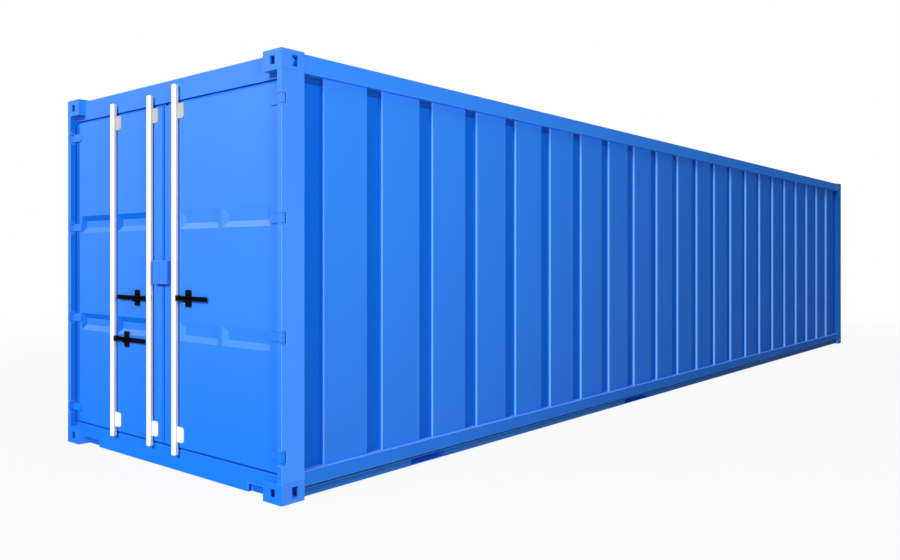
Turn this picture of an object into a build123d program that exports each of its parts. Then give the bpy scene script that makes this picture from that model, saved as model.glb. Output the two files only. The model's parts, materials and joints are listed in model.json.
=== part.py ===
from build123d import *
import math
import os

# A forty foot dry freight container with its two end doors, locking rods and handles.
# X runs along the container, with the doors at the low end and the blind end at the high end.
# Y runs across it, and Z is up. The origin is under the middle, where the container stands.
# Pieces are drawn on the low Y side, called right, and mirrored to the high Y side, called left.
os.makedirs("parts", exist_ok=True)

# Overall size, in millimetres
length = 12192
width = 2438
height = 2591

# Corner castings
casting_length = 178
casting_width = 162
casting_height = 118
casting_plate = 28.5
casting_wall = 16
slot_length = 124
slot_width = 63.5
slot_from_end = 103.5
slot_from_side = 89.5
end_hole_width = 46
end_hole_height = 50
end_hole_from_side = 82
side_hole_width = 48
side_hole_height = 66
side_hole_from_end = 105
face_hole_from_plate = 60

# Door posts: a flange beside the leaf, and a return that the leaf shuts against
post_flange = 38
post_return = 75
post_wall = 6
stop_depth = 96

# Side rails
rail_inset = 3
top_rail_height = 110
top_rail_depth = 72
top_rail_drop = 8
rail_wall = 5
bottom_rail_top = 165
bottom_rail_step = 77
bottom_rail_web_setback = 27
bottom_rail_flange = 110
bottom_rail_foot = 45
ground_clearance = 9

# Header over the doors and sill under them
header_face = 56
header_depth = 155
header_stop_depth = 188
header_top_drop = 12
sill_lip = 147
sill_clearance = 3
sill_wall = 6
sill_recess_width = 200
sill_recess_top = 56
sill_recess_depth = 30

# Floor and its carriers
floor_thickness = 28
cross_member_height = 122
cross_member_flange = 45
cross_member_wall = 4
cross_member_pitch = 450
pocket_spans = [(1183, 1546), (4380, 4937)]
pocket_top = 52
pocket_wall = 5
pocket_strap = 120

# Corrugated sheets
sheet = 2
side_flat_inset = 30
side_groove_depth = 28
side_groove_count = 23
side_groove_opening = 150
side_end_groove = 190
side_groove_slope = 12
end_wave_count = 8
end_wave_depth = 40
end_wave_slope = 20
end_wave_inset = 12
blind_rail_depth = 60
roof_wave_count = 28
roof_wave_depth = 20
roof_wave_slope = 18
roof_inset = 14

# Door leaves
leaf_face = 40
leaf_depth = 50
leaf_hinge_edge = 62
leaf_seam = 15
leaf_gap = 20
leaf_top_gap = 25
stile_width = 60
stile_wall = 3
leaf_rail_height = 100
groove_levels = [0.337, 0.661]
groove_tall = 125
groove_slope = 38
groove_depth = 22
groove_outer_end = 1078
channel_half = 32
channel_slope = 6
channel_depth = 28
missing_rod_break = 17
groove_beside_channel = 4

# Seals
seal_front = 66
seal_stop_gap = 0.3
seal_running_gap = 6
seal_back_width = 12
seam_seal_front = 44
seam_seal_depth = 14
seam_seal_reach = 4.5

# Hinges
pin_inset = 14
pin_radius = 9
pin_clearance = 0.3
hinge_count = 4
hinge_end_drop = 103
blade_height = 56
blade_thickness = 8
blade_reach = 138
blade_corner = 10
crank_start = 16
crank_back = 11
crank_side = 8
lug_thickness = 14
lug_gap = 1
notch_clearance = 1.2
notch_blade_gap = 3
notch_blade_side = 17

# Locking rods
rod_radius = 22.5
rod_depth = 26
rod_inner = 146
rod_outer = 609
rod_end_chamfer = 6
rod_left_low = 128
rod_left_drop = 91
rod_right_low = 112
rod_right_drop = 55
bearing_clearance = 0.5
bearing_side = 3
bearing_back = 4
bracket_reach = 82
bracket_hold = 4
bracket_height = 100
bracket_corner = 12
bracket_thickness = 6
bracket_low = 249
bracket_top_drop = 51

# Cams behind the rods and their keeper plates on the header and sill
cam_reach = 24
cam_half = 8
cam_height = 12
cam_low = 138
cam_high_drop = 121
keeper_height = 16
keeper_half = 20
keeper_thickness = 3

# Handles: how high each sits, how far it reaches, and how far its rest is from the rod
outer_handle_level = 830
outer_rest_from_rod = 160
inner_handle_level = 1125
inner_rest_from_rod = 168
right_handle_level = 1140
right_handle_reach = 345
right_rest_from_rod = 136
handle_height = 30
handle_thickness = 12
handle_depth = 23
handle_gap = 0.5
handle_pivot = 48
handle_eye = 15
handle_pin = 5
handle_pin_clearance = 0.3
cheek_thickness = 4
cheek_half = 17
handle_tip_gap = 63
rest_width = 62
rest_height = 110
rest_corner = 6
rest_front = 31
rest_lip = 10
rest_lip_front = 12
rest_gap = 0.3

# Lock box over the seam, one half on each leaf
lock_box_half = 80
lock_box_seam = 2.5
lock_box_low = 1229
lock_box_high = 1383
lock_box_front = 4
lock_box_wall = 4

# Places worked out from the sizes above
door_end = -length / 2
blind_end = length / 2
right_side = -width / 2
floor_underside = bottom_rail_top
floor_top = floor_underside + floor_thickness
top_rail_top = height - top_rail_drop
top_rail_low = top_rail_top - top_rail_height
post_height = height - 2 * casting_height
wall_length = length - 2 * casting_length
leaf_back = leaf_face + leaf_depth
header_lip = height - header_depth
header_stop = height - header_stop_depth
leaf_bottom = sill_lip + leaf_gap
leaf_top = header_lip - leaf_top_gap
leaf_height = leaf_top - leaf_bottom
groove_heights = [leaf_bottom + level * leaf_height for level in groove_levels]
bracket_heights = [bracket_low, leaf_top - bracket_top_drop]
cam_heights = [cam_low, height - cam_high_drop]
rod_left_ends = (rod_left_low, height - rod_left_drop)
rod_right_ends = (rod_right_low, height - rod_right_drop)
hinge_low = leaf_bottom + hinge_end_drop
hinge_pitch = (leaf_height - 2 * hinge_end_drop) / (hinge_count - 1)
hinge_heights = [hinge_low + number * hinge_pitch for number in range(hinge_count)]
post_corner = Plane((door_end, right_side, 0))
low_corner = (Align.MIN, Align.MIN)


def save(piece, name):
    """Label a finished piece and write it to its own file."""
    piece.part.label = name
    export_step(piece.part, f"parts/{name}.step")


def save_mirrored(piece, name):
    """Write the left hand twin of a piece drawn on the right."""
    with BuildPart() as twin:
        mirror(piece.part, about=Plane.XZ)
    save(twin, name)


def span(x_low, x_high, y_low, y_high, mode=Mode.ADD):
    """A rectangle in the current sketch between two corners."""
    with Locations(((x_low + x_high) / 2, (y_low + y_high) / 2)):
        Rectangle(x_high - x_low, y_high - y_low, mode=mode)


def wave(start, pitch, count, flat, slope, face, depth):
    """Points of a folded sheet: count grooves, one every pitch, sunk from face by depth."""
    points = []
    for number in range(count):
        low = start + number * pitch
        points.append((low, face))
        points.append((low + slope, face + depth))
        points.append((low + slope + flat, face + depth))
        points.append((low + 2 * slope + flat, face))
    return points


# Corner castings, cored out, with a slot in the outer plate and a hole in each outer face
with BuildPart() as casting:
    with BuildSketch(post_corner):
        Rectangle(casting_length, casting_width, align=low_corner)
    extrude(amount=casting_height)
    with BuildSketch(post_corner.offset(casting_plate)):
        span(casting_wall, casting_length - casting_wall, casting_wall, casting_width - casting_wall)
    extrude(amount=casting_height - casting_plate - casting_wall, mode=Mode.SUBTRACT)
    with BuildSketch(post_corner):
        with Locations((slot_from_end, slot_from_side)):
            SlotOverall(slot_length, slot_width)
    extrude(amount=casting_plate, mode=Mode.SUBTRACT)
    with BuildSketch(Plane.YZ.offset(door_end)):
        with Locations((right_side + end_hole_from_side, face_hole_from_plate)):
            Rectangle(end_hole_width, end_hole_height)
    extrude(amount=casting_wall, mode=Mode.SUBTRACT)
    with BuildSketch(Plane.XZ.offset(-right_side)):
        with Locations((door_end + side_hole_from_end, face_hole_from_plate)):
            Rectangle(side_hole_width, side_hole_height)
    extrude(amount=-casting_wall, mode=Mode.SUBTRACT)

with BuildPart() as bottom_castings:
    add(casting.part)
    mirror(about=Plane.XZ)
    mirror(about=Plane.YZ)
save(bottom_castings, "bottom_corner_castings")

with BuildPart() as top_castings:
    mirror(bottom_castings.part, about=Plane.XY.offset(height / 2))
save(top_castings, "top_corner_castings")

# Door posts, notched at each hinge
notch_height = blade_height + 2 * lug_gap + 2 * lug_thickness
notch_front = pin_inset + pin_inset * math.sqrt(2) + notch_clearance
notch_back = leaf_face + notch_blade_gap


def notch_outline(inboard):
    """Room for a square knuckle to turn in, with a deeper part where the blade leaves the post."""
    span(0, notch_front, 0, inboard)
    span(0, notch_back, notch_blade_side, inboard)


with BuildPart() as door_post:
    with BuildSketch(post_corner.offset(casting_height)):
        with BuildLine():
            Polyline(
                (0, 0), (casting_length, 0), (casting_length, post_return),
                (stop_depth, post_return), (stop_depth, post_flange), (0, post_flange),
                close=True,
            )
        make_face()
        offset(amount=-post_wall, kind=Kind.INTERSECTION, mode=Mode.SUBTRACT)
    extrude(amount=post_height)
    for middle in hinge_heights:
        with BuildSketch(post_corner.offset(middle - notch_height / 2)):
            notch_outline(post_return)
        extrude(amount=notch_height, mode=Mode.SUBTRACT)
save(door_post, "door_post_right")
save_mirrored(door_post, "door_post_left")

# Hinge lugs that fill the notches above and below each blade, with the pin between them
with BuildPart() as hinge_lugs:
    for middle in hinge_heights:
        for lug_low in (middle - notch_height / 2, middle + notch_height / 2 - lug_thickness):
            with BuildSketch(post_corner.offset(lug_low)):
                notch_outline(post_flange)
            extrude(amount=lug_thickness)
        with BuildSketch(post_corner.offset(middle - blade_height / 2 - lug_gap)):
            with Locations((pin_inset, pin_inset)):
                Circle(pin_radius)
        extrude(amount=blade_height + 2 * lug_gap)
save(hinge_lugs, "hinge_lugs_right")
save_mirrored(hinge_lugs, "hinge_lugs_left")

# Posts at the blind end: plain box sections
with BuildPart() as blind_post:
    with BuildSketch(Plane((blind_end, right_side, casting_height))):
        span(-casting_length, 0, 0, post_return)
        offset(amount=-post_wall, kind=Kind.INTERSECTION, mode=Mode.SUBTRACT)
    extrude(amount=post_height)
save(blind_post, "blind_post_right")
save_mirrored(blind_post, "blind_post_left")

# Top side rails: box sections between the castings
rail_face = right_side + rail_inset
with BuildPart() as top_rail:
    with BuildSketch(Plane.YZ):
        span(rail_face, rail_face + top_rail_depth, top_rail_low, top_rail_top)
        offset(amount=-rail_wall, kind=Kind.INTERSECTION, mode=Mode.SUBTRACT)
    extrude(amount=wall_length / 2, both=True)
save(top_rail, "top_rail_right")
save_mirrored(top_rail, "top_rail_left")

# Bottom side rails: folded plate with a ledge, a face and a web set back
web_face = rail_face + bottom_rail_web_setback
with BuildPart() as bottom_rail:
    with BuildSketch(Plane.YZ):
        with BuildLine():
            Polyline(
                (rail_face + bottom_rail_flange, bottom_rail_top),
                (rail_face, bottom_rail_top),
                (rail_face, bottom_rail_step),
                (web_face, bottom_rail_step),
                (web_face, pocket_top),
                (web_face + rail_wall, pocket_top),
                (web_face + rail_wall, bottom_rail_step + rail_wall),
                (rail_face + rail_wall, bottom_rail_step + rail_wall),
                (rail_face + rail_wall, bottom_rail_top - rail_wall),
                (rail_face + bottom_rail_flange, bottom_rail_top - rail_wall),
                close=True,
            )
        make_face()
    extrude(amount=wall_length / 2, both=True)
save(bottom_rail, "bottom_rail_right")
save_mirrored(bottom_rail, "bottom_rail_left")

# Rail skirts: the foot of each rail's web, in lengths that stop at the fork pockets
skirt_spans = []
skirt_start = door_end + casting_length
for near, far in pocket_spans:
    skirt_spans.append((skirt_start, door_end + near))
    skirt_start = door_end + far
skirt_spans.append((skirt_start, blind_end - casting_length))
with BuildPart() as rail_skirts:
    for start, end in skirt_spans:
        with BuildSketch(Plane.YZ.offset(start)):
            span(web_face, web_face + rail_wall, ground_clearance, pocket_top)
            span(web_face, web_face + bottom_rail_foot, ground_clearance, ground_clearance + rail_wall)
        extrude(amount=end - start)
    mirror(about=Plane.XZ)
save(rail_skirts, "rail_skirts")

# Header over the doors: a hollow beam with a step that the leaves shut against
header_half = width / 2 - post_flange
casting_inner = width / 2 - casting_width
post_inner = width / 2 - post_return
with BuildPart() as header:
    with BuildSketch(Plane.XZ):
        with BuildLine():
            Polyline(
                (door_end + header_face, header_lip),
                (door_end + header_face, height - header_top_drop),
                (door_end + casting_length, height - header_top_drop),
                (door_end + casting_length, header_stop),
                (door_end + stop_depth, header_stop),
                (door_end + stop_depth, header_lip),
                close=True,
            )
        make_face()
        offset(amount=-sill_wall, kind=Kind.INTERSECTION, mode=Mode.SUBTRACT)
    extrude(amount=header_half, both=True)
    with BuildSketch(Plane.YZ.offset(door_end)):
        for side in (-1, 1):
            with Locations((side * (casting_inner + casting_width / 2), height - casting_height / 2)):
                Rectangle(casting_width, casting_height)
    extrude(amount=casting_length, mode=Mode.SUBTRACT)
    with BuildSketch(Plane.YZ.offset(door_end + stop_depth)):
        for side in (-1, 1):
            with Locations((side * (post_inner + post_return / 2), height / 2)):
                Rectangle(post_return, height)
    extrude(amount=casting_length, mode=Mode.SUBTRACT)
save(header, "door_header")

# Sill under the doors: a hollow beam with a shallow recess in its face beside each casting
recess_middles = [side * (casting_inner - sill_recess_width / 2) for side in (-1, 1)]
with BuildPart() as sill:
    with BuildSketch(Plane.XZ):
        with BuildLine():
            Polyline(
                (door_end + header_face, sill_clearance),
                (door_end + header_face, sill_lip),
                (door_end + stop_depth, sill_lip),
                (door_end + stop_depth, floor_top),
                (door_end + casting_length, floor_top),
                (door_end + casting_length, sill_clearance),
                close=True,
            )
        make_face()
        offset(amount=-sill_wall, kind=Kind.INTERSECTION, mode=Mode.SUBTRACT)
    extrude(amount=header_half, both=True)
    for grow, mode in ((sill_wall, Mode.ADD), (0, Mode.SUBTRACT)):
        with BuildSketch(Plane.YZ.offset(door_end + header_face)):
            for middle in recess_middles:
                span(middle - sill_recess_width / 2 - grow, middle + sill_recess_width / 2 + grow,
                     sill_clearance, sill_recess_top + grow)
        extrude(amount=sill_recess_depth + grow, mode=mode)
    with BuildSketch(Plane.YZ.offset(door_end)):
        for side in (-1, 1):
            with Locations((side * (casting_inner + casting_width / 2), casting_height / 2)):
                Rectangle(casting_width, casting_height)
    extrude(amount=casting_length, mode=Mode.SUBTRACT)
    with BuildSketch(Plane.YZ.offset(door_end + stop_depth)):
        for side in (-1, 1):
            with Locations((side * (post_inner + post_return / 2), height / 2)):
                Rectangle(post_return, height)
    extrude(amount=casting_length, mode=Mode.SUBTRACT)
save(sill, "door_sill")

# Rails across the blind end, between the castings
blind_rail_inset = rail_inset
with BuildPart() as blind_top_rail:
    with BuildSketch(Plane.XZ):
        span(blind_end - blind_rail_inset - blind_rail_depth, blind_end - blind_rail_inset,
             top_rail_low, top_rail_top)
        offset(amount=-rail_wall, kind=Kind.INTERSECTION, mode=Mode.SUBTRACT)
    extrude(amount=casting_inner, both=True)
save(blind_top_rail, "blind_top_rail")

with BuildPart() as blind_bottom_rail:
    with BuildSketch(Plane.XZ):
        span(blind_end - blind_rail_inset - blind_rail_depth, blind_end - blind_rail_inset,
             ground_clearance, bottom_rail_top)
        offset(amount=-rail_wall, kind=Kind.INTERSECTION, mode=Mode.SUBTRACT)
    extrude(amount=post_inner, both=True)
    with BuildSketch(Plane.YZ.offset(blind_end)):
        for side in (-1, 1):
            with Locations((side * (casting_inner + casting_width / 2), casting_height / 2)):
                Rectangle(casting_width, casting_height)
    extrude(amount=-casting_length, mode=Mode.SUBTRACT)
save(blind_bottom_rail, "blind_bottom_rail")

# Side walls: one folded sheet, with a groove against each post and flats between the grooves
side_flat = right_side + side_flat_inset
groove_floor = side_groove_opening - 2 * side_groove_slope
side_flats_total = wall_length - 2 * side_end_groove - (side_groove_count - 2) * side_groove_opening
side_pitch = side_groove_opening + side_flats_total / (side_groove_count - 1)
side_groove_back = side_flat + side_groove_depth
wall_start = door_end + casting_length
side_folds = wave(
    wall_start + side_end_groove - side_groove_opening, side_pitch, side_groove_count,
    groove_floor, side_groove_slope, side_flat, side_groove_depth,
)
side_folds = side_folds[2:-2]
side_folds.insert(0, (wall_start, side_groove_back))
side_folds.append((wall_start + wall_length, side_groove_back))
with BuildPart() as side_wall:
    with BuildSketch(Plane.XY.offset(bottom_rail_top)):
        with BuildLine():
            folds = Polyline(*side_folds)
            offset(folds, amount=sheet, side=Side.LEFT, kind=Kind.INTERSECTION)
        make_face()
    extrude(amount=top_rail_low - bottom_rail_top)
save(side_wall, "side_wall_right")
save_mirrored(side_wall, "side_wall_left")

# Blind end wall: a deeper folded sheet between the posts
end_span = 2 * post_inner
end_pitch = end_span / end_wave_count
end_flat = end_pitch / 2 - end_wave_slope
end_margin = end_flat / 2
end_folds = [(-post_inner, end_wave_inset)]
end_folds += wave(-post_inner + end_margin, end_pitch, end_wave_count,
                  end_flat, end_wave_slope, end_wave_inset, end_wave_depth)
end_folds.append((post_inner, end_wave_inset))
end_plane = Plane((blind_end, 0, bottom_rail_top), x_dir=(0, 1, 0), z_dir=(0, 0, 1))
with BuildPart() as end_wall:
    with BuildSketch(end_plane):
        with BuildLine():
            folds = Polyline(*end_folds)
            offset(folds, amount=sheet, side=Side.LEFT, kind=Kind.INTERSECTION)
        make_face()
    extrude(amount=top_rail_low - bottom_rail_top)
save(end_wall, "blind_end_wall")

# Roof: a folded sheet with shallow waves across it, set down between the top rails
roof_start = door_end + casting_length
roof_end = blind_end - blind_rail_inset - blind_rail_depth
roof_half = width / 2 - rail_inset - top_rail_depth
roof_pitch = (roof_end - roof_start) / roof_wave_count
roof_flat = roof_pitch / 2 - roof_wave_slope
roof_high = top_rail_top - roof_inset
roof_folds = [(roof_start, roof_high)]
roof_folds += wave(roof_start + roof_flat / 2, roof_pitch, roof_wave_count,
                   roof_flat, roof_wave_slope, roof_high, -roof_wave_depth)
roof_folds.append((roof_end, roof_high))
with BuildPart() as roof:
    with BuildSketch(Plane.XZ):
        with BuildLine():
            folds = Polyline(*roof_folds)
            offset(folds, amount=sheet, side=Side.RIGHT, kind=Kind.INTERSECTION)
        make_face()
    extrude(amount=roof_half, both=True)
    with BuildSketch(Plane.XY.offset(top_rail_low)):
        for side in (-1, 1):
            with Locations((blind_end - casting_length / 2, side * (casting_inner + casting_width / 2))):
                Rectangle(casting_length, casting_width)
    extrude(amount=casting_height, mode=Mode.SUBTRACT)
save(roof, "roof_panel")

# Floor deck on the cross members
wall_inner = width / 2 - side_flat_inset - side_groove_depth - sheet
floor_start = door_end + casting_length
floor_end = blind_end - end_wave_inset - end_wave_depth - sheet
with BuildPart() as floor_deck:
    with BuildSketch(Plane.XY.offset(floor_underside)):
        span(floor_start, floor_end, -wall_inner, wall_inner)
        for side in (-1, 1):
            with Locations((blind_end - casting_length / 2, side * (post_inner + post_return / 2))):
                Rectangle(casting_length, post_return, mode=Mode.SUBTRACT)
    extrude(amount=floor_thickness)
save(floor_deck, "floor_deck")

# Cross members: channels from rail to rail, left out where a fork pocket passes
member_half = width / 2 - rail_inset - bottom_rail_web_setback - rail_wall
foot_half = member_half + rail_wall - bottom_rail_foot
member_top = bottom_rail_top - rail_wall
member_low = floor_underside - cross_member_height
floor_bearing_half = width / 2 - rail_inset - bottom_rail_flange
member_count = int(wall_length / cross_member_pitch)
member_places = []
for number in range(member_count):
    place = (number - (member_count - 1) / 2) * cross_member_pitch
    from_door = place - door_end
    clear = True
    for near, far in pocket_spans:
        if near - cross_member_flange < from_door < far + cross_member_flange:
            clear = False
    if clear:
        member_places.append(place)
with BuildPart() as cross_members:
    with BuildSketch(Plane.XZ):
        for place in member_places:
            edge = place - cross_member_flange / 2
            span(edge, edge + cross_member_flange, member_low, member_top)
            span(edge + cross_member_wall, edge + cross_member_flange,
                 member_low + cross_member_wall, member_top - cross_member_wall, Mode.SUBTRACT)
    extrude(amount=member_half, both=True)
    for place in member_places:
        edge = place - cross_member_flange / 2
        with BuildSketch(Plane.XY.offset(member_top)):
            span(edge, edge + cross_member_flange, -floor_bearing_half, floor_bearing_half)
        extrude(amount=rail_wall)
save(cross_members, "cross_members")

# Fork pockets: a roof plate from rail to rail, a strap under each mouth, and a wall at either side
with BuildPart() as pocket_plates:
    with BuildSketch(Plane.XY.offset(pocket_top)):
        for near, far in pocket_spans:
            span(door_end + near - pocket_wall, door_end + far + pocket_wall, -member_half, member_half)
    extrude(amount=pocket_wall)
    with BuildSketch(Plane.XY.offset(ground_clearance)):
        for near, far in pocket_spans:
            span(door_end + near, door_end + far, web_face, web_face + pocket_strap)
            span(door_end + near, door_end + far, -web_face - pocket_strap, -web_face)
    extrude(amount=pocket_wall)
save(pocket_plates, "fork_pocket_plates")

with BuildPart() as pocket_walls:
    for low, half in ((ground_clearance, foot_half), (ground_clearance + rail_wall, member_half)):
        with BuildSketch(Plane.XY.offset(low)):
            for near, far in pocket_spans:
                span(door_end + near - pocket_wall, door_end + near, -half, half)
                span(door_end + far, door_end + far + pocket_wall, -half, half)
        extrude(amount=pocket_top - low)
save(pocket_walls, "fork_pocket_walls")

# Keepers on the header and the sill: a plate behind each cam
rod_x = door_end + rod_depth
rods = {
    "outer_left": (rod_outer, rod_left_ends),
    "inner_left": (rod_inner, rod_left_ends),
    "right": (-rod_inner, rod_right_ends),
}
with BuildPart() as keepers:
    with BuildSketch(Plane.YZ.offset(door_end + header_face - keeper_thickness)):
        for rod_y, _ in rods.values():
            for middle in cam_heights:
                with Locations((rod_y, middle)):
                    Rectangle(2 * keeper_half, keeper_height)
    extrude(amount=keeper_thickness)
save(keepers, "rod_keepers")


# Door leaf pieces, each drawn on the right hand side
leaf_outer_y = right_side + leaf_hinge_edge
leaf_inner_y = -leaf_seam
sheet_back = leaf_face + sheet


def leaf_frame():
    """Box stiles at both edges of a leaf, with flatter rails between them, top and bottom."""
    with BuildPart() as frame:
        for edge in (leaf_outer_y, leaf_inner_y - stile_width):
            with BuildSketch(Plane.XY.offset(leaf_bottom)):
                span(door_end + sheet_back, door_end + leaf_back, edge, edge + stile_width)
                offset(amount=-stile_wall, kind=Kind.INTERSECTION, mode=Mode.SUBTRACT)
            extrude(amount=leaf_height)
        rail_front = leaf_face + channel_depth + sheet
        for low in (leaf_bottom, leaf_top - leaf_rail_height):
            with BuildSketch(Plane.XZ.offset(-(leaf_outer_y + stile_width))):
                span(door_end + rail_front, door_end + leaf_back, low, low + leaf_rail_height)
                offset(amount=-stile_wall, kind=Kind.INTERSECTION, mode=Mode.SUBTRACT)
            extrude(amount=-(leaf_inner_y - leaf_outer_y - 2 * stile_width))
    return frame


def channel_corners(middle, grow):
    """Corners of the upright channel behind a rod, grown by the sheet on the back."""
    mouth = channel_half + grow
    foot = channel_half - channel_slope + grow
    floor = door_end + leaf_face + channel_depth + grow
    return [
        (door_end + leaf_face, middle - mouth),
        (door_end + leaf_face, middle + mouth),
        (floor, middle + foot),
        (floor, middle - foot),
    ]


def groove_form(low, high, level, grow, depth):
    """A sloped groove as a solid, sunk from the leaf's face: grow widens its mouth all round."""
    face = door_end + leaf_face
    run = depth * groove_slope / groove_depth
    bottom = level - groove_tall / 2 - grow
    top = level + groove_tall / 2 + grow
    with BuildPart() as form:
        with BuildSketch(Plane.XY.offset(bottom)):
            with BuildLine():
                Polyline(
                    (face, low - grow), (face, high + grow),
                    (face + depth, high + grow - run), (face + depth, low - grow + run),
                    close=True,
                )
            make_face()
        extrude(amount=top - bottom)
        with BuildSketch(Plane.XZ):
            with BuildLine():
                Polyline(
                    (face, bottom), (face, top),
                    (face + depth, top - run), (face + depth, bottom + run),
                    close=True,
                )
            make_face()
        extrude(amount=width / 2, both=True, mode=Mode.INTERSECT)
    return form.part


def leaf_panel(channels, grooves):
    """The pressed sheet of a leaf: upright channels, and sloped grooves between them."""
    # The back of a groove stands off its front by the sheet, measured across the slope
    grow = sheet * math.hypot(groove_slope, groove_depth) / groove_depth
    backs = []
    fronts = []
    for low, high in grooves:
        for level in groove_heights:
            backs.append(groove_form(low, high, level, grow, groove_depth + sheet))
            fronts.append(groove_form(low, high, level, 0, groove_depth))
    with BuildPart() as panel:
        with BuildSketch(Plane.YZ.offset(door_end + leaf_face)):
            span(leaf_outer_y, leaf_inner_y, leaf_bottom, leaf_top)
        extrude(amount=sheet)
        for middle in channels:
            for grow, mode in ((sheet, Mode.ADD), (0, Mode.SUBTRACT)):
                with BuildSketch(Plane.XY.offset(leaf_bottom)):
                    with BuildLine():
                        Polyline(*channel_corners(middle, grow), close=True)
                    make_face()
                extrude(amount=leaf_height, mode=mode)
        add(backs)
        add(fronts, mode=Mode.SUBTRACT)
    return panel


def leaf_seals():
    """The rubber round a leaf: a lip past its edges, a face that meets the stop, and a seam strip."""
    lip_outer = right_side + post_flange + seal_running_gap
    lip_top = header_lip - seal_running_gap
    lip_bottom = sill_lip + seal_running_gap
    with BuildPart() as seals:
        with BuildSketch(Plane.YZ.offset(door_end + seal_front)):
            span(lip_outer, leaf_inner_y, lip_bottom, lip_top)
            span(leaf_outer_y, leaf_inner_y, leaf_bottom, leaf_top, Mode.SUBTRACT)
        extrude(amount=stop_depth - seal_stop_gap - seal_front)
        with BuildSketch(Plane.YZ.offset(door_end + leaf_back)):
            span(leaf_outer_y, leaf_inner_y, leaf_bottom, leaf_top)
            span(leaf_outer_y + seal_back_width, leaf_inner_y, leaf_bottom + seal_back_width,
                 leaf_top - seal_back_width, Mode.SUBTRACT)
        extrude(amount=stop_depth - seal_stop_gap - leaf_back)
        with BuildSketch(Plane.XY.offset(leaf_bottom)):
            span(door_end + seam_seal_front, door_end + seam_seal_front + seam_seal_depth,
                 leaf_inner_y, -seam_seal_reach)
        extrude(amount=leaf_height)
    return seals


def hinge_blades():
    """Cranked blades from square knuckles on the hinge pins to the face of a leaf."""
    with BuildPart() as blades:
        for middle in hinge_heights:
            with BuildSketch(post_corner.offset(middle - blade_height / 2)):
                span(0, 2 * pin_inset, 0, 2 * pin_inset)
                with BuildLine():
                    Polyline(
                        (pin_inset, 2 * pin_inset),
                        (leaf_face - blade_thickness, pin_inset + crank_start),
                        (leaf_face - blade_thickness, blade_reach),
                        (leaf_face, blade_reach),
                        (leaf_face, 2 * pin_inset),
                        (pin_inset + crank_back, pin_inset - crank_side),
                        close=True,
                    )
                make_face()
                with Locations((pin_inset, pin_inset)):
                    Circle(pin_radius + pin_clearance, mode=Mode.SUBTRACT)
            extrude(amount=blade_height)
        tips = blades.edges().filter_by(Axis.X).group_by(Axis.Y)[-1]
        chamfer(tips, blade_corner)
    return blades


def rod_brackets(places):
    """Bearings that hold the rods of a leaf: a plate to one side, with a saddle behind the rod."""
    saddle_half = rod_radius + bearing_side
    far_edge = channel_half + bracket_hold
    corner = bracket_corner
    half = bracket_height / 2
    with BuildPart() as brackets:
        for rod_y in places:
            for level in bracket_heights:
                with BuildSketch(Plane.YZ.offset(door_end + leaf_face - bracket_thickness)):
                    with BuildLine():
                        Polyline(
                            (rod_y + far_edge, level - half),
                            (rod_y + far_edge, level + half),
                            (rod_y - bracket_reach + corner, level + half),
                            (rod_y - bracket_reach, level + half - corner),
                            (rod_y - bracket_reach, level - half + corner),
                            (rod_y - bracket_reach + corner, level - half),
                            close=True,
                        )
                    make_face()
                extrude(amount=bracket_thickness)
                with BuildSketch(Plane.YZ.offset(rod_x)):
                    span(rod_y - saddle_half, rod_y + saddle_half, level - half, level + half)
                extrude(amount=rod_radius + bearing_clearance + bearing_back)
                with BuildSketch(Plane.XY.offset(level - half)):
                    with Locations((rod_x, rod_y)):
                        Circle(rod_radius + bearing_clearance)
                extrude(amount=bracket_height, mode=Mode.SUBTRACT)
    return brackets


def handle_rests(places):
    """Upright plates behind the handles, each with a lip under the bar."""
    with BuildPart() as rests:
        for rest_y, level in places:
            lip_top = level - handle_height / 2 - rest_gap
            with BuildSketch(Plane.YZ.offset(door_end + rest_front)) as plate:
                with Locations((rest_y, level)):
                    Rectangle(rest_width, rest_height)
                chamfer(plate.vertices(), rest_corner)
            extrude(amount=leaf_face - rest_front)
            with BuildSketch(Plane.YZ.offset(door_end + rest_lip_front)):
                span(rest_y - rest_width / 2, rest_y + rest_width / 2, lip_top - rest_lip, lip_top)
            extrude(amount=rest_front - rest_lip_front)
    return rests


def lock_box():
    """Half of the lock box: a shell, open below and against the leaf."""
    with BuildPart() as box:
        with BuildSketch(Plane.YZ.offset(door_end + lock_box_front)):
            span(-lock_box_half, -lock_box_seam, lock_box_low, lock_box_high)
        extrude(amount=leaf_face - lock_box_front)
        with BuildSketch(Plane.YZ.offset(door_end + lock_box_front + lock_box_wall)):
            span(-lock_box_half + lock_box_wall, -lock_box_seam - lock_box_wall,
                 lock_box_low, lock_box_high - lock_box_wall)
        extrude(amount=leaf_face - lock_box_front - lock_box_wall, mode=Mode.SUBTRACT)
    return box


# Handles: the rod that each is on, which way it points, its height and its reach
left_reach = rod_outer - rod_inner - handle_tip_gap
handles = {
    "outer_left": (rod_outer, -1, outer_handle_level, left_reach),
    "inner_left": (rod_inner, 1, inner_handle_level, left_reach),
    "right": (-rod_inner, -1, right_handle_level, right_handle_reach),
}
left_rests = [
    (rod_outer - outer_rest_from_rod, outer_handle_level),
    (rod_inner + inner_rest_from_rod, inner_handle_level),
]
right_rests = [(-rod_inner - right_rest_from_rod, right_handle_level)]

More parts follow.
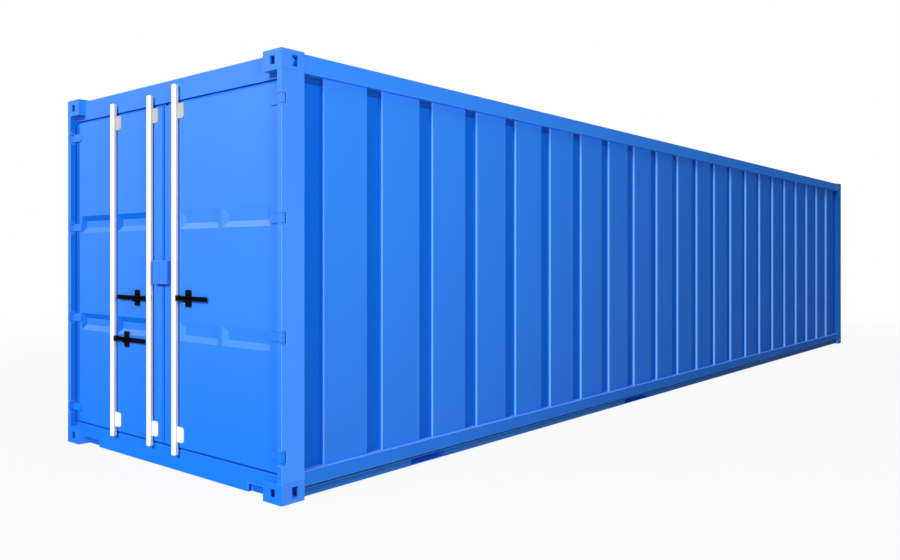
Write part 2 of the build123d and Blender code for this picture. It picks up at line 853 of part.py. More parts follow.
break_middle = -rod_outer
inner_start = rod_inner + channel_half + groove_beside_channel
right_grooves = [
    (-groove_outer_end, break_middle - missing_rod_break),
    (break_middle + missing_rod_break, -inner_start),
]
left_grooves = [
    (-groove_outer_end, -rod_outer - channel_half - groove_beside_channel),
    (-rod_outer + channel_half + groove_beside_channel, -inner_start),
]
save(leaf_frame(), "door_frame_right")
save_mirrored(leaf_frame(), "door_frame_left")
save(leaf_panel([-rod_inner], right_grooves), "door_panel_right")
save_mirrored(leaf_panel([-rod_inner, -rod_outer], left_grooves), "door_panel_left")
save(leaf_seals(), "door_seals_right")
save_mirrored(leaf_seals(), "door_seals_left")
save(hinge_blades(), "hinge_blades_right")
save_mirrored(hinge_blades(), "hinge_blades_left")
save(rod_brackets([-rod_inner]), "rod_brackets_right")
save(rod_brackets([rod_inner, rod_outer]), "rod_brackets_left")
save(lock_box(), "lock_box_right")
save_mirrored(lock_box(), "lock_box_left")
save(handle_rests(right_rests), "handle_rest_right")
save(handle_rests(left_rests), "handle_rests_left")


def lock_rod(rod_y, ends, way, level):
    """A round rod with a cam behind it near each end, and a clevis and pin for its handle."""
    low_end, high_end = ends
    pivot_y = rod_y + way * handle_pivot
    slot = handle_thickness + 2 * handle_gap
    clevis_front = door_end + handle_depth - slot / 2 - cheek_thickness
    clevis_depth = slot + 2 * cheek_thickness
    slot_root = pivot_y - way * (handle_eye + handle_gap)
    cheek_end = pivot_y + way * cheek_half
    with BuildPart() as rod:
        with BuildSketch(Plane.XY.offset(low_end)):
            with Locations((rod_x, rod_y)):
                Circle(rod_radius)
        extrude(amount=high_end - low_end)
        chamfer(rod.edges().filter_by(GeomType.CIRCLE), rod_end_chamfer)
        for middle in cam_heights:
            with BuildSketch(Plane.XY.offset(middle - cam_height / 2)):
                span(rod_x, rod_x + cam_reach, rod_y - cam_half, rod_y + cam_half)
            extrude(amount=cam_height)
        with BuildSketch(Plane.YZ.offset(clevis_front)):
            span(*sorted((rod_y, cheek_end)), level - cheek_half, level + cheek_half)
        extrude(amount=clevis_depth)
        with BuildSketch(Plane.YZ.offset(clevis_front + cheek_thickness)):
            span(*sorted((slot_root, cheek_end)), level - cheek_half, level + cheek_half)
        extrude(amount=slot, mode=Mode.SUBTRACT)
        with BuildSketch(Plane.YZ.offset(clevis_front)):
            with Locations((pivot_y, level)):
                Circle(handle_pin)
        extrude(amount=clevis_depth)
    return rod


def handle_bar(rod_y, way, level, reach):
    """A flat bar with a round eye on the clevis pin."""
    pivot_y = rod_y + way * handle_pivot
    tip_y = rod_y + way * reach
    with BuildPart() as bar:
        with BuildSketch(Plane.YZ.offset(door_end + handle_depth - handle_thickness / 2)):
            span(*sorted((pivot_y, tip_y)), level - handle_height / 2, level + handle_height / 2)
            with Locations((pivot_y, level)):
                Circle(handle_eye)
            with Locations((pivot_y, level)):
                Circle(handle_pin + handle_pin_clearance, mode=Mode.SUBTRACT)
        extrude(amount=handle_thickness)
    return bar


for name, (rod_y, ends) in rods.items():
    _, way, level, reach = handles[name]
    save(lock_rod(rod_y, ends, way, level), f"lock_rod_{name}")
    save(handle_bar(rod_y, way, level, reach), f"handle_{name}")
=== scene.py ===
"""Looks of the shipping container: paint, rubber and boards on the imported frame, lights and camera.

Everything is in metres in the frame of the solids: X from the doors to the blind end, Y from the right
side to the left one, and Z up.
"""

import json
import math

import bpy
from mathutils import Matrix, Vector


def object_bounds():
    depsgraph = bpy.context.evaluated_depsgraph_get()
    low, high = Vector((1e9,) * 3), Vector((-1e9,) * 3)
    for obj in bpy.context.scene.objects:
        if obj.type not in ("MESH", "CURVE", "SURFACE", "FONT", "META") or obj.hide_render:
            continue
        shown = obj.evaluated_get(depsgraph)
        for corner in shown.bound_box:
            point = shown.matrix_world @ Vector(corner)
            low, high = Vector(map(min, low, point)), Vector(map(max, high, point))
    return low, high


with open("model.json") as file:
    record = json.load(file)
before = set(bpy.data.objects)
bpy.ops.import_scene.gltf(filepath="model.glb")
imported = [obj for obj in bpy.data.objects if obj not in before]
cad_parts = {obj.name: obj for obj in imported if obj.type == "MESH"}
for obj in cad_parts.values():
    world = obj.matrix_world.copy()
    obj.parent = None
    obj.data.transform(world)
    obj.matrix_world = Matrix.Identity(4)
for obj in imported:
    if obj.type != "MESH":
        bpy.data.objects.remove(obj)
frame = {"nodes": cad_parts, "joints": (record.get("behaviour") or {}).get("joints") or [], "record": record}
cad_low, cad_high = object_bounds()
joint_places = {joint["name"]: joint["pos_m"] for joint in frame["joints"]}

# Camera, found by fitting the container's corners in the photograph
CAMERA_PLACE = (-9.234, -4.736, 1.41)
CAMERA_HEADING = math.radians(43.0)
CAMERA_LENS = 33.33
CAMERA_SENSOR = 36
CAMERA_SHIFT = (0.1019, -0.0261)
CAMERA_NEAREST = 0.05
CAMERA_FARTHEST = 1000

# Lights: the white surroundings as they light the container and as they look, the sun and the lamp
SURROUNDINGS_LIGHT = 0.15
SURROUNDINGS_SEEN = 1.0
SUN_STRENGTH = 2.75
SUN_SPREAD = math.radians(20)
SUN_DIRECTION = (0.87, 0.12, -0.5)
LAMP_POWER = 260
LAMP_SIZE = 3
LAMP_PLACE = (-7.6, -7.2, 2.6)
LAMP_TARGET = (-4.5, -1.2, 1.2)

# Floor of the stage: half its width, its matt grey, and how its white glow grows between two distances
FLOOR_HALF = 400
FLOOR_GREY = (0.60, 0.60, 0.60, 1)
FLOOR_ROUGHNESS = 0.9
GLOW_START = 6
GLOW_END = 14
GLOW_LEAST = 0.92
GLOW_MOST = 1.0

# Colours, as linear light
BLUE = (0.058, 0.265, 0.92)
# Painted shade: the sill's recesses, the left leaf's outer margin and its groove ends
BLUE_SHADE = (0.006, 0.14, 0.70)
# Painted highlight: the line on the side wall's far slopes and the bottom rails' ledges
BLUE_HIGHLIGHT = (0.15, 0.40, 1.0)
# Painted highlight on the rounded edges of blue parts
BLUE_EDGE_HIGHLIGHT = (0.10, 0.33, 1.0)
# The seals' blue rubber, made paler as painted light where it sits in shaded gaps; also painted light on the
# lips behind the leaves
BLUE_SEAL_LIT = (0.014, 0.23, 1.0)
# Painted light inside the corner castings' holes
BLUE_INSIDE_LIGHT = (0.03, 0.32, 1.0)
WALL_SHADE = (0.0, 0.03, 0.20)
GROOVE_SHADE = (0.003, 0.075, 0.36)
# Painted shade for the far posts and the far castings
POST_FAR_SHADE = (0.004, 0.10, 0.43)
WHITE = (0.97, 0.97, 0.97)
WHITE_SHADE = (0.56, 0.545, 0.50)
# Painted grey shade for the high bracket plates
BRACKET_SHADE = (0.52, 0.52, 0.515)
BLACK = (0.001, 0.001, 0.001)
# Faint painted highlight on the rounded edges of black parts
BLACK_EDGE_HIGHLIGHT = (0.004, 0.004, 0.004)

# Pairs of painted light and shade tones, at the foot and at the top
# Painted shading of the door end: darker at the foot, paler at the top
DOOR_END_SHADING = ((0.009, 0.203, 0.93), (0.078, 0.285, 0.93))
# Painted light and shade on the door grooves' slopes: the right upper slope lightened, the left one
# darkened, the lower ones highlighted
UPPER_SLOPE_RIGHT_LIGHT = ((0.015, 0.268, 1.0), (0.10, 0.376, 1.0))
LOWER_SLOPE_RIGHT_HIGHLIGHT = ((0.0, 0.225, 1.0), (0.24, 0.417, 1.0))
UPPER_SLOPE_LEFT_SHADE = ((0.0, 0.186, 0.87), (0.0, 0.186, 0.87))
LOWER_SLOPE_LEFT_HIGHLIGHT = ((0.10, 0.305, 1.0), (0.10, 0.305, 1.0))
# Painted light and shade on the posts' sides: the near right side paler at the foot, the left and far ones
# darker
POST_RIGHT_SIDE_LIGHT = ((0.064, 0.30, 1.0), BLUE)
POST_LEFT_SIDE_SHADE = ((0.010, 0.20, 0.73), (0.010, 0.20, 0.73))
POST_FAR_SIDE_SHADE = ((0.0, 0.17, 0.78), (0.0, 0.17, 0.78))
POST_FAR_FRONT_SHADE = (POST_FAR_SHADE, POST_FAR_SHADE)
# Painted shade on the bottom rails' web, deepest just under the step
RAIL_WEB_SHADE = ((0.03, 0.20, 0.66), (0.004, 0.04, 0.14))

# Pairs of painted shading tones, at the door end and at the blind end, darker towards the blind end
WALL_SHADING = ((0.040, 0.265, 0.98), (0.0, 0.148, 0.78))
GROOVE_SHADING = ((0.0025, 0.148, 0.77), (0.006, 0.13, 0.60))
SLOPE_SHADE = ((0.0024, 0.13, 0.68), (0.0035, 0.072, 0.32))
TOP_RAIL_SHADING = (WALL_SHADING[0], (0.022, 0.24, 0.94))
BOTTOM_RAIL_SHADING = ((0.024, 0.195, 0.76), (0.004, 0.13, 0.60))
CASTING_SHADING = (BLUE, POST_FAR_SHADE)

# Heights between which the painted shading drifts from foot to top
TONE_FOOT = 0.1
TONE_TOP = 2.5

# Side wall: how far out its flats lie, the heights between which its painted shade grows downwards and how
# much it grows, where the painted shadow under the top rail starts, and how deep the painted highlight line
# on a slope reaches at the door end and at the blind end
FLAT_OUT = cad_high.y - 0.030
WALL_SHADE_TOP = 2.4
WALL_SHADE_FOOT = 0.2
WALL_SHADE_SHARE = 0.2
GROOVE_SHADE_FOOT = cad_high.z - 0.162
HIGHLIGHT_NEAR = 0.008
HIGHLIGHT_FAR = 0.026

# Bottom rails: how far out their web can lie, their step and foot, and how far over the step the web's
# painted shade ends
WEB_SIDE = cad_high.y - 0.010
RAIL_STEP = 0.077
RAIL_FOOT = 0.009
WEB_OVER_STEP = 0.005

# Door end: where the lips behind the leaves start, the heights of the sill's recesses and lip, and where
# the left leaf's outer margin starts; the lips get painted light, the recesses and the margin painted shade
LIP_START = cad_low.x + 0.061
SILL_RECESS_TOP = 0.090
SILL_LIP = 0.100
LEAF_SHADE_MARGIN = cad_high.y - 0.105

# Corner castings: how deep their inside starts, where painted light goes
CASTING_SKIN = 0.005

# Rods: how far along X a face looks where the shaded band starts and where it ends, how far beside the
# rod's middle the clevis shows, and half its height
BAND_START = (-0.31, -0.25)
BAND_END = (0.05, 0.5)
CLEVIS_BESIDE = 0.0224
CLEVIS_HALF = 0.01875

# Bracket plates: heights that part the low white ones from the high ones in painted grey shade
BRACKET_PARTING = (1.2, 1.4)

# Masks: how much of a face's direction lies along an axis when it slopes that way or is square to it,
# and over what width each kind of mask fades
SLOPE_LEAN = 0.35
SLOPE_BLUR = 0.3
SQUARE_LEAN = 0.85
SQUARE_BLUR = 0.1
BLUR = 0.002
FINE_BLUR = 0.0005

# Paint: how fine its drift, uneven gloss and orange peel are, how strong each is, how much each kind
# shines, and how deep the fine relief is
NOISE_DETAIL = 4
NOISE_ROUGHNESS = 0.55
NOISE_RANGE = (0.3, 0.7)
DRIFT_SCALE = 0.9
DRIFT_SHADE = 0.82
DRIFT_SHARE = 0.07
GLOSS_SCALE = 2.3
ROUGHNESS_LESS = 0.05
ROUGHNESS_MORE = 0.07
PEEL_SCALE = 160
PEEL_DETAIL = 2
PEEL_STRENGTH = 0.02
PAINT_SHINE = 0.06
PAINT_ROUGHNESS = 0.5
WHITE_ROUGHNESS = 0.4
BLACK_ROUGHNESS = 0.45
RUBBER_ROUGHNESS = 0.7
RELIEF = 0.002

# Floor boards: their size, their seams, their tones, the grain along them and how they shine
BOARD_LENGTH = 1.16
BOARD_WIDTH = 0.28
BOARD_SEAM = 0.003
BOARD_PALE = (0.27, 0.15, 0.070, 1)
BOARD_DARK = (0.22, 0.115, 0.055, 1)
SEAM_TONE = (0.03, 0.018, 0.01, 1)
GRAIN_TONE = (0.13, 0.065, 0.03)
GRAIN_STRETCH = (3, 60, 3)
GRAIN_SCALE = 2
GRAIN_DETAIL = 5
GRAIN_RANGE = (0.35, 0.65)
GRAIN_SHARE = 0.45
GRAIN_STRENGTH = 0.15
BOARD_ROUGHNESS = 0.6
BOARD_SHINE = 0.3

# Edges: how near the points are that are welded first, and how the edges are rounded
WELD_DISTANCE = 0.00005
EDGE_WIDTH = 0.003
HANDLE_EDGE_WIDTH = 0.006
EDGE_SEGMENTS = 2
EDGE_ANGLE = math.radians(40)

# Nodes whose rounded edges keep the paint of their faces, not a painted highlight, and sheets, seals and
# boards that stay sharp
PLAIN = ("lock_rod", "hinge", "rod_keepers", "blind_post")
SHARP = (
    "side_wall", "blind_end_wall", "roof_panel", "rail_skirts", "door_panel", "door_seals", "floor_deck",
)


def new_material(name):
    """A new material with its node tree and its shader."""
    material = bpy.data.materials.new(name)
    material.use_nodes = True
    return material, material.node_tree, material.node_tree.nodes["Principled BSDF"]


def add_node(tree, kind, **inputs):
    """A new shader node with some of its sockets set by name."""
    node = tree.nodes.new(kind)
    for name, value in inputs.items():
        node.inputs[name.replace("_", " ")].default_value = value
    return node


def feed(tree, socket, value):
    """Gives a socket its value: a colour, a number or another socket."""
    if isinstance(value, bpy.types.NodeSocket):
        tree.links.new(value, socket)
    elif isinstance(value, tuple):
        socket.default_value = (*value, 1)
    else:
        socket.default_value = value


def calculate(tree, operation, *values):
    """One step of arithmetic on numbers and sockets."""
    node = tree.nodes.new("ShaderNodeMath")
    node.operation = operation
    for socket, value in zip(node.inputs, values):
        feed(tree, socket, value)
    return node.outputs[0]


def distance(tree, value, middle):
    """How far the value lies from the middle, on either side."""
    return calculate(tree, "ABSOLUTE", calculate(tree, "SUBTRACT", value, middle))


def noise(tree, coordinates, scale, detail=NOISE_DETAIL):
    """Noise over the coordinates."""
    node = add_node(tree, "ShaderNodeTexNoise", Scale=scale, Detail=detail, Roughness=NOISE_ROUGHNESS)
    tree.links.new(coordinates, node.inputs["Vector"])
    return node.outputs["Fac"]


def map_range(tree, value, from_low, from_high, to_low=0, to_high=1):
    """The value carried from one range to another, clamped. Without a second range it makes a mask."""
    node = add_node(tree, "ShaderNodeMapRange")
    ends = (("From Min", from_low), ("From Max", from_high), ("To Min", to_low), ("To Max", to_high))
    tree.links.new(value, node.inputs["Value"])
    for name, number in ends:
        node.inputs[name].default_value = number
    return node.outputs["Result"]


def above(tree, value, edge, blur=BLUR):
    """A mask of where the value lies above the edge."""
    return map_range(tree, value, edge - blur / 2, edge + blur / 2)


def below(tree, value, edge, blur=BLUR):
    """A mask of where the value lies below the edge."""
    return map_range(tree, value, edge + blur / 2, edge - blur / 2)


def mix_colour(tree, factor, first, second):
    """A mix of two colours, each a constant or a socket."""
    node = tree.nodes.new("ShaderNodeMix")
    node.data_type = "RGBA"
    tree.links.new(factor, node.inputs["Factor"])
    feed(tree, node.inputs["A"], first)
    feed(tree, node.inputs["B"], second)
    return node.outputs["Result"]


def add_bump(tree, shader, height, strength):
    """Fine relief on the shader's normal."""
    bump = add_node(tree, "ShaderNodeBump", Strength=strength, Distance=RELIEF)
    tree.links.new(height, bump.inputs["Height"])
    tree.links.new(bump.outputs["Normal"], shader.inputs["Normal"])


def coordinates_of(tree, kind):
    """The three parts of the place or the normal in object space, which ride with the piece."""
    split = tree.nodes.new("ShaderNodeSeparateXYZ")
    tree.links.new(tree.nodes.new("ShaderNodeTexCoord").outputs[kind], split.inputs["Vector"])
    return split.outputs


def upwards(tree, tones):
    """Painted shading: a colour that drifts from the foot to the top of the container."""
    share = map_range(tree, coordinates_of(tree, "Object")["Z"], TONE_FOOT, TONE_TOP)
    return mix_colour(tree, share, *tones)


def along(tree, tones):
    """Painted shading: a colour that drifts from the door end to the blind end."""
    share = map_range(tree, coordinates_of(tree, "Object")["X"], cad_low.x, cad_high.x)
    return mix_colour(tree, share, *tones)


def facing_doors(tree):
    """A mask of the faces that look out at the door end."""
    return below(tree, coordinates_of(tree, "Normal")["X"], -SQUARE_LEAN, SQUARE_BLUR)


def finish_paint(material, tree, shader, tone, colour=BLUE, roughness=PAINT_ROUGHNESS):
    """A faint drift of tone over the paint, an uneven gloss and orange peel."""
    place = tree.nodes.new("ShaderNodeTexCoord").outputs["Object"]
    drift = map_range(tree, noise(tree, place, DRIFT_SCALE), *NOISE_RANGE, 0, DRIFT_SHARE)
    tone = mix_colour(tree, drift, tone, tuple(part * DRIFT_SHADE for part in colour))
    tree.links.new(tone, shader.inputs["Base Color"])
    least = roughness - ROUGHNESS_LESS
    most = roughness + ROUGHNESS_MORE
    uneven = map_range(tree, noise(tree, place, GLOSS_SCALE), *NOISE_RANGE, least, most)
    tree.links.new(uneven, shader.inputs["Roughness"])
    shader.inputs["Specular IOR Level"].default_value = PAINT_SHINE
    add_bump(tree, shader, noise(tree, place, PEEL_SCALE, PEEL_DETAIL), PEEL_STRENGTH)
    return material


def plain_paint(name, colour, roughness=PAINT_ROUGHNESS):
    """Paint or rubber of one colour."""
    material, tree, shader = new_material(name)
    return finish_paint(material, tree, shader, colour, colour, roughness)


def door_end_paint(name):
    """Blue paint with painted shading that pales upwards, for what has no paint of its own."""
    material, tree, shader = new_material(name)
    return finish_paint(material, tree, shader, upwards(tree, DOOR_END_SHADING))


def leaf_paint(name, upper, lower, ends, margin=None):
    """Door leaf paint, with painted light and shade on the upper and lower slopes and the ends of the
    grooves, and painted shade past a margin.
    """
    material, tree, shader = new_material(name)
    facing = coordinates_of(tree, "Normal")
    tone = upwards(tree, DOOR_END_SHADING)
    # Painted light and shade on the groove slopes and ends, set by which way each face looks
    up = above(tree, facing["Z"], SLOPE_LEAN, SLOPE_BLUR)
    tone = mix_colour(tree, up, tone, upwards(tree, lower))
    down = below(tree, facing["Z"], -SLOPE_LEAN, SLOPE_BLUR)
    tone = mix_colour(tree, down, tone, upwards(tree, upper))
    sideways = above(tree, calculate(tree, "ABSOLUTE", facing["Y"]), SLOPE_LEAN, SLOPE_BLUR)
    tone = mix_colour(tree, sideways, tone, ends)
    # Painted shade on the leaf's outer margin
    if margin:
        past = above(tree, coordinates_of(tree, "Object")["Y"], margin)
        tone = mix_colour(tree, past, tone, BLUE_SHADE)
    return finish_paint(material, tree, shader, tone)


def wall_paint(name):
    """Side wall paint: painted shade in the grooves, on the far slopes, low down and under the top rail,
    with a painted highlight line on the outer part of each far slope.
    """
    material, tree, shader = new_material(name)
    place = coordinates_of(tree, "Object")
    out = calculate(tree, "ABSOLUTE", place["Y"])
    # Painted shade in the grooves
    sunk = below(tree, out, FLAT_OUT - BLUR)
    tone = mix_colour(tree, sunk, along(tree, WALL_SHADING), along(tree, GROOVE_SHADING))
    # Painted shade growing towards the foot
    low = map_range(tree, place["Z"], WALL_SHADE_TOP, WALL_SHADE_FOOT, 0, WALL_SHADE_SHARE)
    tone = mix_colour(tree, low, tone, WALL_SHADE)
    # Painted shade on the far slopes
    slope = below(tree, coordinates_of(tree, "Normal")["X"], -SLOPE_LEAN, SLOPE_BLUR)
    tone = mix_colour(tree, slope, tone, along(tree, SLOPE_SHADE))
    # Painted shadow of the top rail across the top of each groove
    rail_shadow = above(tree, place["Z"], GROOVE_SHADE_FOOT)
    tone = mix_colour(tree, calculate(tree, "MULTIPLY", rail_shadow, sunk), tone, GROOVE_SHADE)
    # Painted highlight line on the outer part of each far slope
    depth = map_range(tree, place["X"], cad_low.x, cad_high.x, HIGHLIGHT_NEAR, HIGHLIGHT_FAR)
    slope_highlight = above(tree, calculate(tree, "ADD", out, depth), FLAT_OUT, FINE_BLUR)
    tone = mix_colour(tree, calculate(tree, "MULTIPLY", slope, slope_highlight), tone, BLUE_HIGHLIGHT)
    return finish_paint(material, tree, shader, tone)


def bottom_rail_paint(name):
    """Bottom rail paint: a painted highlight on the ledge, and painted shade on the web under the step that
    pales downwards.
    """
    material, tree, shader = new_material(name)
    place = coordinates_of(tree, "Object")
    # Painted shade on the web under the step, paling downwards
    sunk = below(tree, calculate(tree, "ABSOLUTE", place["Y"]), WEB_SIDE)
    low = below(tree, place["Z"], RAIL_STEP + WEB_OVER_STEP)
    web = mix_colour(tree, map_range(tree, place["Z"], RAIL_FOOT, RAIL_STEP), *RAIL_WEB_SHADE)
    tone = mix_colour(tree, calculate(tree, "MULTIPLY", sunk, low), along(tree, BOTTOM_RAIL_SHADING), web)
    # Painted highlight on the up-facing ledge
    ledge = above(tree, coordinates_of(tree, "Normal")["Z"], SQUARE_LEAN, SQUARE_BLUR)
    tone = mix_colour(tree, ledge, tone, BLUE_HIGHLIGHT)
    return finish_paint(material, tree, shader, tone)


def top_rail_paint(name):
    """Top rail paint, whose painted shading drifts along the container."""
    material, tree, shader = new_material(name)
    return finish_paint(material, tree, shader, along(tree, TOP_RAIL_SHADING))


def post_paint(name, side, plain=BLUE, front=DOOR_END_SHADING):
    """Post paint, with pairs of painted light and shade tones for what looks right and for what looks out at
    the door end.
    """
    material, tree, shader = new_material(name)
    # Painted light and shade on the faces that look right and on the fronts
    right = below(tree, coordinates_of(tree, "Normal")["Y"], -SQUARE_LEAN, SQUARE_BLUR)
    tone = mix_colour(tree, right, plain, upwards(tree, side))
    tone = mix_colour(tree, facing_doors(tree), tone, upwards(tree, front))
    return finish_paint(material, tree, shader, tone)


def beam_paint(name):
    """Header and sill paint: painted light on the lips behind the leaves, and painted shade in the sill's
    recesses.
    """
    material, tree, shader = new_material(name)
    place = coordinates_of(tree, "Object")
    # Painted shade in the sill's recesses, painted light on the lips behind the leaves
    recess = map_range(tree, place["Z"], SILL_LIP, SILL_RECESS_TOP)
    behind = mix_colour(tree, recess, BLUE_SEAL_LIT, BLUE_SHADE)
    tone = mix_colour(tree, above(tree, place["X"], LIP_START), upwards(tree, DOOR_END_SHADING), behind)
    return finish_paint(material, tree, shader, tone)


def casting_paint(name):
    """Corner castings: painted light within, so that their shaded holes don't read as black, and painted
    shading elsewhere.
    """
    material, tree, shader = new_material(name)
    place = coordinates_of(tree, "Object")
    # Painted light within the holes, which lie in shade
    within_x = below(tree, calculate(tree, "ABSOLUTE", place["X"]), cad_high.x - CASTING_SKIN)
    within_y = below(tree, calculate(tree, "ABSOLUTE", place["Y"]), cad_high.y - CASTING_SKIN)
    tone = mix_colour(tree, facing_doors(tree), along(tree, CASTING_SHADING), upwards(tree, DOOR_END_SHADING))
    tone = mix_colour(tree, calculate(tree, "MULTIPLY", within_x, within_y), tone, BLUE_INSIDE_LIGHT)
    return finish_paint(material, tree, shader, tone)


def rod_paint(name, joint):
    """White rod paint with a shaded band on its right, and black on the clevis of its handle."""
    rod_y, clevis_z = joint_places[joint][1:]
    material, tree, shader = new_material(name)
    facing = coordinates_of(tree, "Normal")["X"]
    tone = mix_colour(tree, map_range(tree, facing, *BAND_START), WHITE, WHITE_SHADE)
    tone = mix_colour(tree, map_range(tree, facing, *BAND_END), tone, WHITE)
    finish_paint(material, tree, shader, tone, WHITE, WHITE_ROUGHNESS)
    place = coordinates_of(tree, "Object")
    beside = above(tree, distance(tree, place["Y"], rod_y), CLEVIS_BESIDE, FINE_BLUR)
    level = below(tree, distance(tree, place["Z"], clevis_z), CLEVIS_HALF, FINE_BLUR)
    painted = shader.inputs["Base Color"].links[0].from_socket
    tone = mix_colour(tree, calculate(tree, "MULTIPLY", beside, level), painted, BLACK)
    tree.links.new(tone, shader.inputs["Base Color"])
    return material


def bracket_paint(name):
    """Plates of the rods: white at the foot of the leaf, with painted grey shade at its top."""
    material, tree, shader = new_material(name)
    # Painted grey shade on the high plates
    high = map_range(tree, coordinates_of(tree, "Object")["Z"], *BRACKET_PARTING)
    tone = mix_colour(tree, high, WHITE, BRACKET_SHADE)
    return finish_paint(material, tree, shader, tone, WHITE, WHITE_ROUGHNESS)


def board_look(name):
    """Floor boards laid along the container, with grain along them and a dark seam between two."""
    material, tree, shader = new_material(name)
    place = tree.nodes.new("ShaderNodeTexCoord").outputs["Object"]
    boards = add_node(
        tree, "ShaderNodeTexBrick", Scale=1, Brick_Width=BOARD_LENGTH, Row_Height=BOARD_WIDTH, Bias=0,
        Mortar_Size=BOARD_SEAM, Mortar_Smooth=0, Color1=BOARD_PALE, Color2=BOARD_DARK, Mortar=SEAM_TONE,
    )
    tree.links.new(place, boards.inputs["Vector"])
    stretched = add_node(tree, "ShaderNodeMapping", Scale=GRAIN_STRETCH)
    tree.links.new(place, stretched.inputs["Vector"])
    grain = noise(tree, stretched.outputs["Vector"], GRAIN_SCALE, GRAIN_DETAIL)
    share = map_range(tree, grain, *GRAIN_RANGE, 0, GRAIN_SHARE)
    tone = mix_colour(tree, share, boards.outputs["Color"], GRAIN_TONE)
    tree.links.new(tone, shader.inputs["Base Color"])
    shader.inputs["Roughness"].default_value = BOARD_ROUGHNESS
    shader.inputs["Specular IOR Level"].default_value = BOARD_SHINE
    add_bump(tree, shader, grain, GRAIN_STRENGTH)
    return material


def slot_looks():
    """The materials of faces and of rounded edges for each material slot of the record; paler edges are a
    painted highlight.
    """
    white = plain_paint("white_edge_paint", WHITE, WHITE_ROUGHNESS)
    brackets = bracket_paint("bracket_paint")
    seal = plain_paint("seal_rubber", BLUE_SEAL_LIT, RUBBER_ROUGHNESS)
    deck = board_look("floor_wood")
    black = plain_paint("black_paint", BLACK, BLACK_ROUGHNESS)
    black_edge = plain_paint("black_edge_highlight", BLACK_EDGE_HIGHLIGHT, BLACK_ROUGHNESS)
    return {
        "blue_paint": (door_end_paint("blue_paint"), plain_paint("blue_edge_highlight", BLUE_EDGE_HIGHLIGHT)),
        "white_paint": (white, white),
        "grey_paint": (brackets, brackets),
        "black_paint": (black, black_edge),
        "rubber": (seal, seal),
        "floor_wood": (deck, deck),
    }


def node_faces():
    """The materials of faces for the nodes whose paint differs from that of their slot."""
    wall = wall_paint("wall_paint")
    beam = beam_paint("beam_paint")
    top_rail = top_rail_paint("top_rail_paint")
    bottom_rail = bottom_rail_paint("rail_paint")
    far_post = post_paint("far_post_paint", POST_FAR_SIDE_SHADE, POST_FAR_SHADE, POST_FAR_FRONT_SHADE)
    return {
        "bottom_corner_castings": casting_paint("bottom_casting_paint"),
        "top_corner_castings": casting_paint("top_casting_paint"),
        "blind_post_right": far_post,
        "blind_post_left": far_post,
        "door_post_right": post_paint("right_post_paint", POST_RIGHT_SIDE_LIGHT),
        "door_post_left": post_paint("left_post_paint", POST_LEFT_SIDE_SHADE),
        "door_header": beam,
        "door_sill": beam,
        "top_rail_right": top_rail,
        "top_rail_left": top_rail,
        "side_wall_right": wall,
        "side_wall_left": wall,
        "bottom_rail_right": bottom_rail,
        "bottom_rail_left": bottom_rail,
        "rail_skirts": bottom_rail,
        "door_panel_right": leaf_paint("right_leaf_paint", UPPER_SLOPE_RIGHT_LIGHT, LOWER_SLOPE_RIGHT_HIGHLIGHT, BLUE),
        "door_panel_left": leaf_paint(
            "left_leaf_paint", UPPER_SLOPE_LEFT_SHADE, LOWER_SLOPE_LEFT_HIGHLIGHT, BLUE_SHADE, LEAF_SHADE_MARGIN,
        ),
        "lock_rod_outer_left": rod_paint("outer_rod_paint", "rod_outer_left_turn"),
        "lock_rod_inner_left": rod_paint("inner_rod_paint", "rod_inner_left_turn"),
        "lock_rod_right": rod_paint("right_rod_paint", "rod_right_turn"),
    }


def round_edges(node):
    """Rounds the node's sharp edges, in its second material, a painted highlight where that is paler than
    its faces.
    """
    bevel = node.modifiers.new("edges", "BEVEL")
    bevel.width = HANDLE_EDGE_WIDTH if node.name.startswith("handle_") else EDGE_WIDTH
    bevel.segments = EDGE_SEGMENTS
    bevel.limit_method = "ANGLE"
    bevel.angle_limit = EDGE_ANGLE
    # The rounded edges take the second material, a painted highlight where it is paler than the faces
    bevel.material = 1


def dress_nodes():
    """Gives each node its materials, and rounds the edges of all but the sharp ones."""
    looks = slot_looks()
    faces = node_faces()
    for part in frame["record"]["subparts"]:
        name = part["node"]
        node = frame["nodes"][name]
        face, edge = looks[part["material_slot"]]
        face = faces.get(name, face)
        if name.startswith(PLAIN):
            edge = face
        node.data.materials.clear()
        node.data.materials.append(face)
        node.data.materials.append(edge)
        weld = node.modifiers.new("weld", "WELD")
        weld.merge_threshold = WELD_DISTANCE
        if not name.startswith(SHARP):
            round_edges(node)


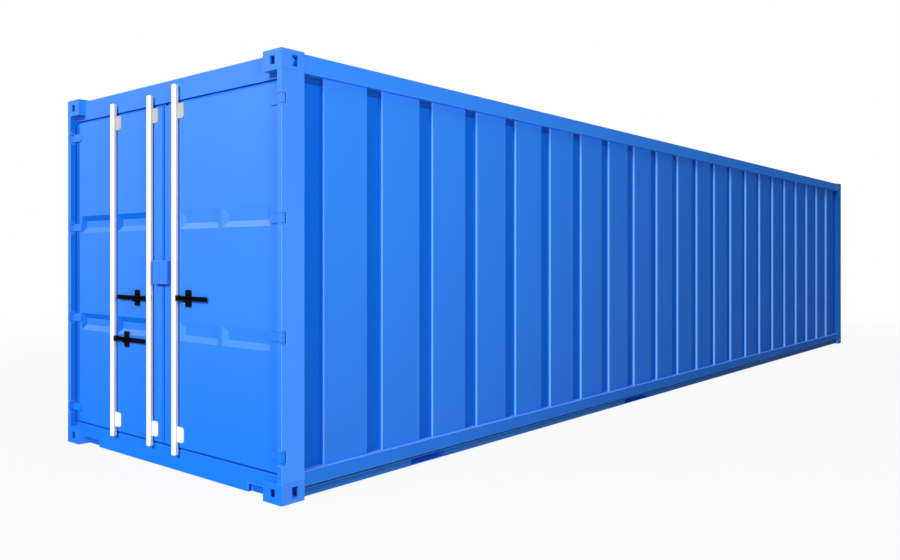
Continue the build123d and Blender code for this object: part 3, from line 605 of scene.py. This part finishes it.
def stage_floor():
    """A wide pale floor that keeps the container's shadow and runs out to white."""
    mesh = bpy.data.meshes.new("floor")
    corners = [(-FLOOR_HALF, -FLOOR_HALF, 0), (FLOOR_HALF, -FLOOR_HALF, 0),
               (FLOOR_HALF, FLOOR_HALF, 0), (-FLOOR_HALF, FLOOR_HALF, 0)]
    mesh.from_pydata(corners, [], [(0, 1, 2, 3)])
    floor = bpy.data.objects.new("floor", mesh)
    bpy.context.scene.collection.objects.link(floor)
    material, tree, shader = new_material("pale_floor")
    shader.inputs["Base Color"].default_value = FLOOR_GREY
    shader.inputs["Roughness"].default_value = FLOOR_ROUGHNESS
    shader.inputs["Specular IOR Level"].default_value = 0
    glow = add_node(tree, "ShaderNodeEmission", Strength=1)
    reach = tree.nodes.new("ShaderNodeVectorMath")
    reach.operation = "LENGTH"
    tree.links.new(tree.nodes.new("ShaderNodeTexCoord").outputs["Object"], reach.inputs[0])
    far = map_range(tree, reach.outputs["Value"], GLOW_START, GLOW_END, GLOW_LEAST, GLOW_MOST)
    seen = tree.nodes.new("ShaderNodeLightPath").outputs["Is Camera Ray"]
    mix = tree.nodes.new("ShaderNodeMixShader")
    tree.links.new(calculate(tree, "MULTIPLY", far, seen), mix.inputs["Fac"])
    tree.links.new(shader.outputs["BSDF"], mix.inputs[1])
    tree.links.new(glow.outputs["Emission"], mix.inputs[2])
    tree.links.new(mix.outputs["Shader"], tree.nodes["Material Output"].inputs["Surface"])
    mesh.materials.append(material)


def add_pointing(name, data, direction):
    """A new light or camera in the scene that points along a direction."""
    pointing = bpy.data.objects.new(name, data)
    pointing.rotation_mode = "QUATERNION"
    pointing.rotation_quaternion = direction.to_track_quat("-Z", "Y")
    bpy.context.scene.collection.objects.link(pointing)
    return pointing


def light_stage():
    """White surroundings, a soft sun from the door end, and a broad lamp beside the near corner."""
    world = bpy.data.worlds.new("studio")
    bpy.context.scene.world = world
    world.use_nodes = True
    tree = world.node_tree
    background = tree.nodes["Background"]
    background.inputs["Color"].default_value = (1, 1, 1, 1)
    seen = tree.nodes.new("ShaderNodeLightPath").outputs["Is Camera Ray"]
    strength = map_range(tree, seen, 0, 1, SURROUNDINGS_LIGHT, SURROUNDINGS_SEEN)
    tree.links.new(strength, background.inputs["Strength"])
    sun = bpy.data.lights.new("sun", "SUN")
    sun.energy = SUN_STRENGTH
    sun.angle = SUN_SPREAD
    add_pointing("sun", sun, Vector(SUN_DIRECTION))
    lamp = bpy.data.lights.new("key", "AREA")
    lamp.shape = "DISK"
    lamp.size = LAMP_SIZE
    lamp.energy = LAMP_POWER
    add_pointing("key", lamp, Vector(LAMP_TARGET) - Vector(LAMP_PLACE)).location = LAMP_PLACE


def place_camera():
    """The photograph's level view, with its small shift."""
    camera = bpy.data.cameras.new("camera")
    camera.lens = CAMERA_LENS
    camera.sensor_width = CAMERA_SENSOR
    camera.shift_x, camera.shift_y = CAMERA_SHIFT
    camera.clip_start = CAMERA_NEAREST
    camera.clip_end = CAMERA_FARTHEST
    ahead = Vector((math.cos(CAMERA_HEADING), math.sin(CAMERA_HEADING), 0))
    viewer = add_pointing("camera", camera, ahead)
    viewer.location = CAMERA_PLACE
    bpy.context.scene.camera = viewer


dress_nodes()
stage_floor()
light_stage()
place_camera()
bpy.context.scene.view_settings.view_transform = "Standard"
